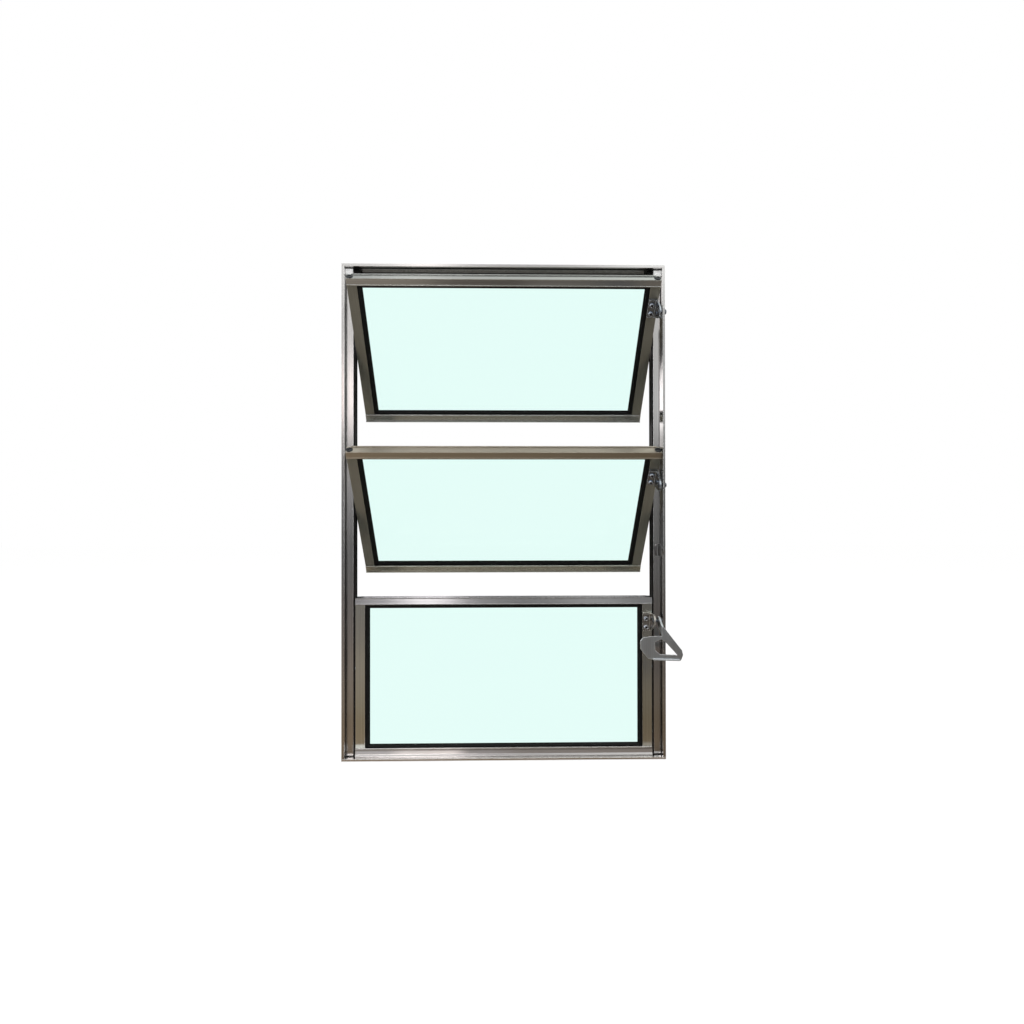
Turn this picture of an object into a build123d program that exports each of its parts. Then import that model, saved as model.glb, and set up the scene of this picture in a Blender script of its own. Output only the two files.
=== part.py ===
"""Horizontal pivot window: a slim aluminium frame with three glazed sashes one above the other.

The two upper sashes stand open, top edge into the room and bottom edge out, and the lower one is shut.
X runs to the right seen from the room, Y from the room to the outside and Z up.
The origin is in the middle of the sill's underside.
"""

import os
from math import cos, radians, sin

from build123d import *

# Overall frame
FRAME_WIDTH = 391.4
FRAME_HEIGHT = 600.0
FRAME_DEPTH = 28.0

# Outer frame extrusion: a flat web with a hooked bead along its front edge
WEB = 1.4
BEAD_HEIGHT = 3.3
BEAD_DEPTH = 6.0
BEAD_WALL = 1.2

# Inner jamb tubes, which carry the pivots
TUBE_WIDTH = 10.9
TUBE_SETBACK = 10.0
TUBE_WALL = 1.3

# Ribbed rubber seals on the jamb tubes
SEAL_THICKNESS = 0.8
SEAL_MARGIN = 0.8
SEAL_RIB_HEIGHT = 0.6
SEAL_RIB_WIDTH = 0.8

# Head stop, which the upper sash shuts against, and its end caps
STOP_HEIGHT = 9.6
STOP_WALL = 1.3
STOP_CLEARANCE = 0.8
CAP_WIDTH = 7.0
CAP_HEIGHT = 6.4

# Sashes, which share the frame's height
SASH_COUNT = 3
SASH_GAP = 5.9
SILL_GAP = 3.6
HEAD_GAP = 8.0
SASH_CLEARANCE = 2.6
SASH_DEPTH = 11.5
SASH_WALL = 1.3
TOP_FLANGE = 8.3
BOTTOM_FLANGE = 10.0
RAIL_LEAN = 0.45
FACE_BEAD = 0.4
FACE_BEAD_HEIGHT = 1.0
UPSTAND_HEIGHT = 1.1
UPSTAND_CLEARANCE = 0.5
STILE_WIDTH = 11.5
STILE_TUBE = 5.6
NOSE_HEIGHT = 2.8
NOSE_DEPTH = 1.6
FIN_DROP = 7.0
FIN_WALL = 1.2
FIN_CLEARANCE = 0.7

# Glass and its gasket
GLASS_THICKNESS = 3.0
GASKET_BASE = 1.4
GASKET_SIDE_LIP = 5.4
GASKET_TOP_LIP = 4.4
GASKET_BOTTOM_LIP = 3.6
GASKET_TAPER = 55.0

# Pivots, a little above the middle of each sash
PIVOT_SETBACK = 16.0
PIVOT_OFFSET = 8.0
PIVOT_RISE = 9.3
PIN_RADIUS = 2.5
PIN_REACH = 4.5
WASHER_RADIUS = 4.0
OPEN_ANGLE = 40.7

# Sheet brackets on the right stiles, each screwed on a little higher or lower than the next
SHEET = 1.5
BRACKET_DROP = 22.7
BRACKET_LENGTH = 22.5
BRACKET_LIP = 2.2
LOWER_BRACKET_RISE = 4.0
MIDDLE_BRACKET_RISE = -2.0
UPPER_BRACKET_RISE = 0.0
EAR_INSET = 3.0
EAR_RADIUS = 7.2
LINK_DROP = 7.0
LINK_OUT = 27.5

# Rivets and the bar that couples the two upper sashes
RIVET_RADIUS = 2.0
RIVET_HEAD_RADIUS = 3.6
RIVET_HEAD = 1.6
BAR_CLEARANCE = 0.3
BAR_THICKNESS = 2.4
BAR_DEPTH = 16.0
BAR_HEAD = 6.5
BAR_CORNER = 4.0
BAR_TAIL = 81.5
BAR_BEVEL = 5.2

# Catch at the bar's tail: a strap bent into an arch, on a boss that keeps it off the bar
CATCH_WIDTH = 6.2
CATCH_DEPTH = 9.0
CATCH_HEIGHT = 14.0
CATCH_SHEET = 1.8
CATCH_GAP = 2.2
BOSS_RADIUS = 2.2
BOSS_DROP = 5.5

# Hand lever on the lower sash
LEVER_SHEET = 2.0
LEVER_REACH = 19.5
LEVER_CORNER = 1.2
LEVER_LIP = 1.4
LEVER_LIP_DEPTH = 2.4
CHEEK_RADIUS = 5.5
CHEEK_TOP = 3.5

FRONT = -FRAME_DEPTH / 2
BACK = FRAME_DEPTH / 2
HALF_WIDTH = FRAME_WIDTH / 2
BEAD_BACK = FRONT + BEAD_DEPTH
TUBE_FRONT = FRONT + TUBE_SETBACK
TUBE_INNER = HALF_WIDTH - WEB - TUBE_WIDTH
HEAD_UNDERSIDE = FRAME_HEIGHT - WEB
STOP_BOTTOM = HEAD_UNDERSIDE - STOP_HEIGHT

PIVOT_PITCH = (FRAME_HEIGHT - SILL_GAP - HEAD_GAP + SASH_GAP) / SASH_COUNT
SASH_HEIGHT = PIVOT_PITCH - SASH_GAP
SASH_TOP = SASH_HEIGHT / 2 - PIVOT_RISE
SASH_BOTTOM = SASH_HEIGHT / 2 + PIVOT_RISE
PIVOT_Y = FRONT + PIVOT_SETBACK
PIVOT_HEIGHTS = [SILL_GAP + SASH_BOTTOM + PIVOT_PITCH * step for step in range(SASH_COUNT)]
SASH_HALF = TUBE_INNER - SASH_CLEARANCE
SASH_FRONT = -PIVOT_OFFSET
SASH_BACK = SASH_FRONT + SASH_DEPTH
STILE_FRONT = SASH_FRONT + SASH_WALL
STILE_BACK = SASH_BACK - SASH_WALL
STILE_INNER = SASH_HALF - STILE_WIDTH
STILE_TOP = SASH_TOP - SASH_WALL
UPSTAND_HALF = TUBE_INNER - CAP_WIDTH - UPSTAND_CLEARANCE
STILE_BOTTOM = -SASH_BOTTOM + SASH_WALL
GROOVE_FLOOR = SASH_HALF - STILE_TUBE
GROOVE_DEPTH = STILE_BACK - STILE_FRONT - 2 * SASH_WALL
STOP_FRONT = PIVOT_Y + SASH_BACK + STOP_CLEARANCE
SEAL_FACE = TUBE_INNER - SEAL_THICKNESS
BRACKET_TOP = SASH_TOP - BRACKET_DROP
LINK_UP = BRACKET_TOP - LINK_DROP
EAR_INNER = SASH_HALF - EAR_INSET
EAR_OUTER = EAR_INNER + SHEET
BAR_INNER = SASH_HALF + BAR_CLEARANCE
BAR_OUTER = BAR_INNER + BAR_THICKNESS
LEVER_INNER = BAR_OUTER
LEVER_OUTER = LEVER_INNER + LEVER_SHEET

ALUMINIUM = Color(0.62, 0.61, 0.58)
RUBBER = Color(0.03, 0.03, 0.03)
CLEAR = Color(0.85, 0.98, 0.95, 0.4)
STEEL = Color(0.75, 0.76, 0.78)

os.makedirs("parts", exist_ok=True)


def finish(piece, name, colour):
    """Labels a finished piece and writes it to its own file."""
    piece.label = name
    piece.color = colour
    export_step(piece, f"parts/{name}.step")


def web_outline(edge, inward):
    """Corners of the outer extrusion's section: depth, then height from the edge inwards."""
    return [
        (FRONT, edge),
        (BACK, edge),
        (BACK, edge + inward * WEB),
        (FRONT + BEAD_WALL, edge + inward * WEB),
        (FRONT + BEAD_WALL, edge + inward * (BEAD_HEIGHT - BEAD_WALL)),
        (BEAD_BACK, edge + inward * (BEAD_HEIGHT - BEAD_WALL)),
        (BEAD_BACK, edge + inward * BEAD_HEIGHT),
        (FRONT, edge + inward * BEAD_HEIGHT),
    ]


# Head
with BuildPart() as head:
    with BuildSketch(Plane.YZ):
        with BuildLine():
            Polyline(*web_outline(FRAME_HEIGHT, -1), close=True)
        make_face()
    extrude(amount=HALF_WIDTH, both=True)
finish(head.part, "head", ALUMINIUM)

# Sill
with BuildPart() as sill:
    with BuildSketch(Plane.YZ):
        with BuildLine():
            Polyline(*web_outline(0, 1), close=True)
        make_face()
    extrude(amount=HALF_WIDTH, both=True)
finish(sill.part, "sill", ALUMINIUM)

# Right jamb: the bead stops under the head's bead, and the web behind it runs on to the head's web
with BuildPart() as right_jamb:
    with BuildSketch(Plane.XY.offset(BEAD_HEIGHT)):
        with BuildLine():
            Polyline(*[(across, depth) for depth, across in web_outline(HALF_WIDTH, -1)], close=True)
        make_face()
    extrude(amount=FRAME_HEIGHT - 2 * BEAD_HEIGHT)
    with BuildSketch(Plane.XY.offset(WEB)):
        with Locations((HALF_WIDTH, BACK)):
            Rectangle(WEB, BACK - BEAD_BACK, align=(Align.MAX, Align.MAX))
    extrude(amount=FRAME_HEIGHT - 2 * WEB)

# Right jamb tube with a bore for each pivot pin
with BuildPart() as right_tube:
    with BuildSketch(Plane.XY.offset(WEB)):
        with Locations((TUBE_INNER, TUBE_FRONT)):
            Rectangle(TUBE_WIDTH, BACK - TUBE_FRONT, align=(Align.MIN, Align.MIN))
        with Locations((TUBE_INNER + TUBE_WALL, TUBE_FRONT + TUBE_WALL)):
            Rectangle(
                TUBE_WIDTH - 2 * TUBE_WALL,
                BACK - TUBE_FRONT - 2 * TUBE_WALL,
                align=(Align.MIN, Align.MIN),
                mode=Mode.SUBTRACT,
            )
    extrude(amount=FRAME_HEIGHT - 2 * WEB)
    with BuildSketch(Plane.YZ.offset(TUBE_INNER)):
        with Locations(*[(PIVOT_Y, height) for height in PIVOT_HEIGHTS]):
            Circle(PIN_RADIUS)
    extrude(amount=TUBE_WALL, mode=Mode.SUBTRACT)

# Right seal: a flat strip with two ribs along it
with BuildPart() as right_seal:
    with BuildSketch(Plane.XY.offset(WEB)):
        with Locations((TUBE_INNER, TUBE_FRONT + SEAL_MARGIN)):
            Rectangle(
                SEAL_THICKNESS,
                BACK - TUBE_FRONT - 2 * SEAL_MARGIN,
                align=(Align.MAX, Align.MIN),
            )
        with Locations((SEAL_FACE, TUBE_FRONT + SEAL_MARGIN)):
            Rectangle(SEAL_RIB_HEIGHT, SEAL_RIB_WIDTH, align=(Align.MAX, Align.MIN))
        with Locations((SEAL_FACE, BACK - SEAL_MARGIN)):
            Rectangle(SEAL_RIB_HEIGHT, SEAL_RIB_WIDTH, align=(Align.MAX, Align.MAX))
    extrude(amount=STOP_BOTTOM - WEB)
    with BuildSketch(Plane.YZ.offset(SEAL_FACE)):
        with Locations(*[(PIVOT_Y, height) for height in PIVOT_HEIGHTS]):
            Circle(PIN_RADIUS)
    extrude(amount=SEAL_THICKNESS, mode=Mode.SUBTRACT)

# Right end cap of the head stop, cut back above the shut sash
with BuildPart() as right_cap:
    with BuildSketch(Plane.YZ.offset(TUBE_INNER - CAP_WIDTH)):
        with BuildLine():
            Polyline(
                (TUBE_FRONT + SEAL_MARGIN, HEAD_UNDERSIDE),
                (BACK, HEAD_UNDERSIDE),
                (BACK, STOP_BOTTOM),
                (STOP_FRONT, STOP_BOTTOM),
                (STOP_FRONT, HEAD_UNDERSIDE - CAP_HEIGHT),
                (TUBE_FRONT + SEAL_MARGIN, HEAD_UNDERSIDE - CAP_HEIGHT),
                close=True,
            )
        make_face()
    extrude(amount=CAP_WIDTH)

for piece, name, colour in (
    (right_jamb, "jamb", ALUMINIUM),
    (right_tube, "jamb_tube", ALUMINIUM),
    (right_seal, "jamb_seal", RUBBER),
    (right_cap, "stop_cap", RUBBER),
):
    finish(piece.part, f"right_{name}", colour)
    finish(mirror(piece.part, about=Plane.YZ), f"left_{name}", colour)

# Head stop between its caps
with BuildPart() as head_stop:
    with BuildSketch(Plane.YZ):
        with Locations((STOP_FRONT, STOP_BOTTOM)):
            Rectangle(BACK - STOP_FRONT, STOP_HEIGHT, align=(Align.MIN, Align.MIN))
        with Locations((STOP_FRONT + STOP_WALL, STOP_BOTTOM + STOP_WALL)):
            Rectangle(
                BACK - STOP_FRONT - 2 * STOP_WALL,
                STOP_HEIGHT - 2 * STOP_WALL,
                align=(Align.MIN, Align.MIN),
                mode=Mode.SUBTRACT,
            )
    extrude(amount=TUBE_INNER - CAP_WIDTH, both=True)
finish(head_stop.part, "head_stop", ALUMINIUM)

# Top rail of a sash: a channel open downwards that wraps over the ends of the stiles. Its face leans back
# and has a fine bead along its upper and its lower edge. A low upstand runs along its back, between the caps
with BuildPart() as top_rail:
    with BuildSketch(Plane.YZ):
        with BuildLine():
            Polyline(
                (SASH_BACK, SASH_TOP),
                (SASH_BACK, SASH_TOP - TOP_FLANGE),
                (STILE_BACK, SASH_TOP - TOP_FLANGE),
                (STILE_BACK, STILE_TOP),
                (STILE_FRONT, STILE_TOP),
                (STILE_FRONT, SASH_TOP - TOP_FLANGE),
                (SASH_FRONT - RAIL_LEAN - FACE_BEAD, SASH_TOP - TOP_FLANGE),
                (SASH_FRONT - RAIL_LEAN - FACE_BEAD, SASH_TOP - TOP_FLANGE + FACE_BEAD_HEIGHT),
                (SASH_FRONT - RAIL_LEAN, SASH_TOP - TOP_FLANGE + FACE_BEAD_HEIGHT),
                (SASH_FRONT + RAIL_LEAN, SASH_TOP - FACE_BEAD_HEIGHT),
                (SASH_FRONT + RAIL_LEAN - FACE_BEAD, SASH_TOP - FACE_BEAD_HEIGHT),
                (SASH_FRONT + RAIL_LEAN - FACE_BEAD, SASH_TOP),
                close=True,
            )
        make_face()
    extrude(amount=SASH_HALF, both=True)
    with BuildSketch(Plane.YZ):
        with Locations((SASH_BACK, SASH_TOP)):
            Rectangle(SASH_WALL, UPSTAND_HEIGHT, align=(Align.MAX, Align.MIN))
    extrude(amount=UPSTAND_HALF, both=True)


def bottom_rail_outline(fin_drop):
    """Corners of a bottom rail's section, with a drip nose in front and a weather fin behind."""
    rail_top = -SASH_BOTTOM + BOTTOM_FLANGE
    fin_front = SASH_BACK + FIN_CLEARANCE
    outline = [
        (SASH_FRONT + RAIL_LEAN - FACE_BEAD, rail_top),
        (SASH_FRONT + RAIL_LEAN - FACE_BEAD, rail_top - FACE_BEAD_HEIGHT),
        (SASH_FRONT + RAIL_LEAN, rail_top - FACE_BEAD_HEIGHT),
        (SASH_FRONT - RAIL_LEAN, -SASH_BOTTOM + NOSE_HEIGHT),
        (SASH_FRONT - NOSE_DEPTH, -SASH_BOTTOM + NOSE_HEIGHT / 3),
        (SASH_FRONT - NOSE_DEPTH, -SASH_BOTTOM),
    ]
    if fin_drop:
        outline += [
            (fin_front, -SASH_BOTTOM),
            (fin_front, -SASH_BOTTOM - fin_drop),
            (fin_front + FIN_WALL, -SASH_BOTTOM - fin_drop),
            (fin_front + FIN_WALL, STILE_BOTTOM),
        ]
    else:
        outline += [(SASH_BACK, -SASH_BOTTOM)]
    outline += [
        (SASH_BACK, STILE_BOTTOM),
        (SASH_BACK, rail_top),
        (STILE_BACK, rail_top),
        (STILE_BACK, STILE_BOTTOM),
        (STILE_FRONT, STILE_BOTTOM),
        (STILE_FRONT, rail_top),
    ]
    return outline


# Bottom rail of the two upper sashes
with BuildPart() as bottom_rail:
    with BuildSketch(Plane.YZ):
        with BuildLine():
            Polyline(*bottom_rail_outline(FIN_DROP), close=True)
        make_face()
    extrude(amount=SASH_HALF, both=True)

# Bottom rail of the lower sash, which shuts over the sill and has no fin
with BuildPart() as sill_rail:
    with BuildSketch(Plane.YZ):
        with BuildLine():
            Polyline(*bottom_rail_outline(0), close=True)
        make_face()
    extrude(amount=SASH_HALF, both=True)

# Right stile: a small tube outside and an open glazing groove inside
with BuildPart() as right_stile:
    with BuildSketch(Plane.XY.offset(STILE_BOTTOM)):
        with Locations((STILE_INNER, STILE_FRONT)):
            Rectangle(STILE_WIDTH, STILE_BACK - STILE_FRONT, align=(Align.MIN, Align.MIN))
        with Locations((STILE_INNER, STILE_FRONT + SASH_WALL)):
            Rectangle(
                STILE_WIDTH - STILE_TUBE, GROOVE_DEPTH, align=(Align.MIN, Align.MIN), mode=Mode.SUBTRACT
            )
        with Locations((SASH_HALF - SASH_WALL, STILE_FRONT + SASH_WALL)):
            Rectangle(
                STILE_TUBE - 2 * SASH_WALL, GROOVE_DEPTH, align=(Align.MAX, Align.MIN), mode=Mode.SUBTRACT
            )
    extrude(amount=STILE_TOP - STILE_BOTTOM)
    with BuildSketch(Plane.YZ.offset(SASH_HALF - SASH_WALL)):
        Circle(PIN_RADIUS)
    extrude(amount=SASH_WALL, mode=Mode.SUBTRACT)

# Glass pane, held in the gasket
PANE_HALF = GROOVE_FLOOR - GASKET_BASE
PANE_TOP = STILE_TOP - GASKET_BASE
PANE_BOTTOM = STILE_BOTTOM + GASKET_BASE
PANE_Y = (STILE_FRONT + STILE_BACK) / 2
PANE_PLANE = Plane.XZ.offset(-PANE_Y)
PANE_MIDDLE = (PANE_TOP + PANE_BOTTOM) / 2
with BuildPart() as glass:
    with BuildSketch(PANE_PLANE):
        with Locations((0, PANE_MIDDLE)):
            Rectangle(2 * PANE_HALF, PANE_TOP - PANE_BOTTOM)
    extrude(amount=GLASS_THICKNESS / 2, both=True)

# Gasket: a rubber ring round the pane, thicker in the rails' channels, with lips that slope to the glass
SIGHT_HALF = STILE_INNER - GASKET_SIDE_LIP
SIGHT_TOP = SASH_TOP - TOP_FLANGE - GASKET_TOP_LIP
SIGHT_BOTTOM = -SASH_BOTTOM + BOTTOM_FLANGE + GASKET_BOTTOM_LIP
with BuildPart() as gasket:
    with BuildSketch(PANE_PLANE):
        with Locations((0, PANE_MIDDLE)):
            Rectangle(2 * GROOVE_FLOOR, STILE_TOP - STILE_BOTTOM)
    extrude(amount=GROOVE_DEPTH / 2, both=True)
    with BuildSketch(PANE_PLANE):
        with Locations((0, STILE_TOP)):
            Rectangle(2 * STILE_INNER, TOP_FLANGE - SASH_WALL, align=(Align.CENTER, Align.MAX))
        with Locations((0, STILE_BOTTOM)):
            Rectangle(2 * STILE_INNER, BOTTOM_FLANGE - SASH_WALL, align=(Align.CENTER, Align.MIN))
    extrude(amount=(STILE_BACK - STILE_FRONT) / 2, both=True)
    for side in (-1, 1):
        with BuildSketch(Plane.XZ.offset(-PANE_Y + side * GLASS_THICKNESS / 2)):
            with Locations((0, (SIGHT_TOP + SIGHT_BOTTOM) / 2)):
                Rectangle(2 * SIGHT_HALF, SIGHT_TOP - SIGHT_BOTTOM)
        extrude(amount=side * GROOVE_DEPTH, taper=-GASKET_TAPER, mode=Mode.SUBTRACT)
    add(glass.part, mode=Mode.SUBTRACT)

# Right pivot: a pin from the stile into the jamb tube, with a washer between sash and seal
with BuildPart() as right_pivot:
    with BuildSketch(Plane.YZ.offset(SASH_HALF - SASH_WALL)):
        Circle(PIN_RADIUS)
    extrude(amount=TUBE_INNER + PIN_REACH - SASH_HALF + SASH_WALL)
    with BuildSketch(Plane.YZ.offset(SASH_HALF)):
        Circle(WASHER_RADIUS)
    extrude(amount=SEAL_FACE - SASH_HALF)

# Bracket: a folded sheet with a lip along its top and an ear that stands out into the room
LINK = (-LINK_OUT, LINK_UP)
with BuildPart() as bracket:
    with BuildSketch(Plane.XZ.offset(-STILE_FRONT)):
        with Locations((STILE_INNER, BRACKET_TOP)):
            Rectangle(EAR_OUTER - STILE_INNER, BRACKET_LENGTH, align=(Align.MIN, Align.MAX))
    extrude(amount=SHEET)
    with BuildSketch(Plane.XY.offset(BRACKET_TOP)):
        with Locations((STILE_INNER, STILE_FRONT)):
            Rectangle(EAR_OUTER - STILE_INNER, SHEET + BRACKET_LIP, align=(Align.MIN, Align.MAX))
    extrude(amount=-SHEET)
    with BuildSketch(Plane.YZ.offset(EAR_INNER)):
        with Locations(LINK):
            Circle(EAR_RADIUS)
        with Locations((STILE_FRONT, BRACKET_TOP)):
            Rectangle(SHEET, BRACKET_LENGTH, align=(Align.MAX, Align.MAX))
        make_hull()
    extrude(amount=SHEET)
    with BuildSketch(Plane.YZ.offset(EAR_INNER)):
        with Locations(LINK):
            Circle(RIVET_RADIUS)
    extrude(amount=SHEET, mode=Mode.SUBTRACT)


def rivet_through(inner, outer):
    """A rivet from the ear through a plate that lies from inner to outer, with a collar between them."""
    with BuildPart() as rivet:
        with BuildSketch(Plane.YZ.offset(EAR_INNER - RIVET_HEAD / 2)):
            with Locations(LINK):
                Circle(RIVET_HEAD_RADIUS)
        extrude(amount=RIVET_HEAD / 2)
        with BuildSketch(Plane.YZ.offset(EAR_INNER)):
            with Locations(LINK):
                Circle(RIVET_RADIUS)
        extrude(amount=outer - EAR_INNER)
        with BuildSketch(Plane.YZ.offset(EAR_OUTER)):
            with Locations(LINK):
                Circle(RIVET_HEAD_RADIUS)
        extrude(amount=inner - EAR_OUTER)
        with BuildSketch(Plane.YZ.offset(outer)):
            with Locations(LINK):
                Circle(RIVET_HEAD_RADIUS)
        extrude(amount=RIVET_HEAD)
    return rivet


bar_rivet = rivet_through(BAR_INNER, BAR_OUTER)
lever_rivet = rivet_through(LEVER_INNER, LEVER_OUTER)

# The three sashes in their poses
for sash, height, angle, lowest_rail, rivet, rise in (
    ("lower", PIVOT_HEIGHTS[0], 0, sill_rail, lever_rivet, LOWER_BRACKET_RISE),
    ("middle", PIVOT_HEIGHTS[1], OPEN_ANGLE, bottom_rail, bar_rivet, MIDDLE_BRACKET_RISE),
    ("upper", PIVOT_HEIGHTS[2], OPEN_ANGLE, bottom_rail, bar_rivet, UPPER_BRACKET_RISE),
):
    pose = Location((0, PIVOT_Y, height), (angle, 0, 0))
    for piece, name, colour in (
        (top_rail, "top_rail", ALUMINIUM),
        (lowest_rail, "bottom_rail", ALUMINIUM),
        (right_stile, "right_stile", ALUMINIUM),
        (glass, "glass", CLEAR),
        (gasket, "gasket", RUBBER),
        (right_pivot, "right_pivot", STEEL),
    ):
        finish(pose * piece.part, f"{sash}_{name}", colour)
    for piece, name, colour in (
        (right_stile, "left_stile", ALUMINIUM),
        (right_pivot, "left_pivot", STEEL),
    ):
        finish(pose * mirror(piece.part, about=Plane.YZ), f"{sash}_{name}", colour)
    raised = pose * Location((0, 0, rise))
    finish(raised * bracket.part, f"{sash}_bracket", ALUMINIUM)
    finish(raised * rivet.part, f"{sash}_rivet", STEEL)


def open_link(height, rise):
    """Depth and height of the rivet of an open sash, from its pivot height and its bracket's rise."""
    tilt = radians(OPEN_ANGLE)
    up = LINK_UP + rise
    return (
        PIVOT_Y - up * sin(tilt) - LINK_OUT * cos(tilt),
        height + up * cos(tilt) - LINK_OUT * sin(tilt),
    )


# Control bar: a flat bar with rounded corners at its top and a tail cut aslant
MIDDLE_LINK = open_link(PIVOT_HEIGHTS[1], MIDDLE_BRACKET_RISE)
UPPER_LINK = open_link(PIVOT_HEIGHTS[2], UPPER_BRACKET_RISE)
BAR_MIDDLE = (MIDDLE_LINK[0] + UPPER_LINK[0]) / 2
BAR_FRONT = BAR_MIDDLE - BAR_DEPTH / 2
BAR_REAR = BAR_MIDDLE + BAR_DEPTH / 2
BAR_TOP = UPPER_LINK[1] + BAR_HEAD
BAR_BOTTOM = MIDDLE_LINK[1] - BAR_TAIL
with BuildPart() as control_bar:
    with BuildSketch(Plane.YZ.offset(BAR_INNER)):
        with BuildLine():
            Polyline(
                (BAR_FRONT, BAR_TOP),
                (BAR_REAR, BAR_TOP),
                (BAR_REAR, BAR_BOTTOM),
                (BAR_FRONT, BAR_BOTTOM + BAR_BEVEL),
                close=True,
            )
        make_face()
        fillet(vertices().sort_by(Axis.Y)[-2:], radius=BAR_CORNER)
        with Locations(MIDDLE_LINK, UPPER_LINK):
            Circle(RIVET_RADIUS, mode=Mode.SUBTRACT)
    extrude(amount=BAR_THICKNESS)
finish(control_bar.part, "control_bar", ALUMINIUM)

# Bar catch: the arch opens downwards, and its boss stands against the bar
CATCH_OUTER = BAR_INNER - CATCH_GAP
CATCH_TOP = BAR_BOTTOM + CATCH_HEIGHT
CATCH_MIDDLE = CATCH_OUTER - CATCH_WIDTH / 2
with BuildPart() as bar_catch:
    with BuildSketch(Plane.XZ.offset(-BAR_FRONT)):
        with Locations((CATCH_MIDDLE, BAR_BOTTOM)):
            Rectangle(CATCH_WIDTH, CATCH_HEIGHT, align=(Align.CENTER, Align.MIN))
        fillet(vertices().sort_by(Axis.Y)[-2:], radius=CATCH_WIDTH / 2.2)
        with Locations((CATCH_MIDDLE, BAR_BOTTOM)):
            Rectangle(
                CATCH_WIDTH - 2 * CATCH_SHEET,
                CATCH_HEIGHT - CATCH_SHEET,
                align=(Align.CENTER, Align.MIN),
                mode=Mode.SUBTRACT,
            )
    extrude(amount=-CATCH_DEPTH)
    with BuildSketch(Plane.YZ.offset(CATCH_OUTER)):
        with Locations((BAR_FRONT + BOSS_RADIUS + CATCH_SHEET, CATCH_TOP - BOSS_DROP)):
            Circle(BOSS_RADIUS)
    extrude(amount=CATCH_GAP)
finish(bar_catch.part, "bar_catch", ALUMINIUM)

# Hand lever: a looped sheet out in the room, with a lip along its lower edge and a cheek folded back to the
# rivet. The outlines are measured from the rivet, across and up
LEVER_OUTLINE = [
    (0.0, -1.6),
    (23.2, -31.3),
    (24.6, -36.8),
    (21.9, -43.4),
    (-9.3, -42.3),
    (-16.3, -40.5),
    (-25.3, -29.7),
    (-25.3, -20.3),
    (-22.1, -16.3),
    (-9.3, -14.8),
    (0.0, -14.8),
]
LEVER_LOOP = [
    (-8.7, -21.6),
    (-1.2, -18.3),
    (3.7, -21.4),
    (17.7, -36.9),
    (-2.5, -36.0),
    (-8.2, -31.2),
]
LEVER_LIP_EDGE = LEVER_OUTLINE[3:5]
LEVER_LINK_Y = PIVOT_Y - LINK_OUT
LEVER_LINK_Z = PIVOT_HEIGHTS[0] + LINK_UP + LOWER_BRACKET_RISE
LEVER_BACK = LEVER_LINK_Y - LEVER_REACH
LEVER_CHEEK_HEIGHT = LEVER_OUTLINE[0][1] - LEVER_OUTLINE[-1][1] - CHEEK_TOP
with BuildPart() as hand_lever:
    with BuildSketch(Plane((LEVER_INNER, LEVER_BACK, LEVER_LINK_Z), x_dir=(1, 0, 0), z_dir=(0, -1, 0))):
        with BuildLine():
            Polyline(*LEVER_OUTLINE, close=True)
        make_face()
        fillet(vertices(), radius=LEVER_CORNER)
        with BuildLine():
            Polyline(*LEVER_LOOP, close=True)
        make_face(mode=Mode.SUBTRACT)
    extrude(amount=LEVER_SHEET)
    with BuildSketch(
        Plane((LEVER_INNER, LEVER_BACK - LEVER_SHEET, LEVER_LINK_Z), x_dir=(1, 0, 0), z_dir=(0, -1, 0))
    ):
        with BuildLine():
            Polyline(
                *[(across - LEVER_CORNER, up) for across, up in LEVER_LIP_EDGE],
                *[(across - LEVER_CORNER, up + LEVER_LIP) for across, up in LEVER_LIP_EDGE[::-1]],
                close=True,
            )
        make_face()
    extrude(amount=LEVER_LIP_DEPTH)
    with BuildSketch(Plane.YZ.offset(LEVER_INNER)):
        with Locations((LEVER_LINK_Y, LEVER_LINK_Z)):
            Circle(CHEEK_RADIUS)
        with Locations((LEVER_BACK, LEVER_LINK_Z + LEVER_OUTLINE[-1][1])):
            Rectangle(LEVER_SHEET, LEVER_CHEEK_HEIGHT, align=(Align.MAX, Align.MIN))
        make_hull()
    extrude(amount=LEVER_SHEET)
    with BuildSketch(Plane.YZ.offset(LEVER_INNER)):
        with Locations((LEVER_LINK_Y, LEVER_LINK_Z)):
            Circle(RIVET_RADIUS)
    extrude(amount=LEVER_SHEET, mode=Mode.SUBTRACT)
finish(hand_lever.part, "hand_lever", ALUMINIUM)
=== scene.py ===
from math import atan2, cos, pi, radians, sin

import bmesh
import bpy
from bpy.props import FloatProperty, FloatVectorProperty, PointerProperty
from bpy.types import Operator, Panel, PropertyGroup
from mathutils import Matrix, Vector


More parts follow.
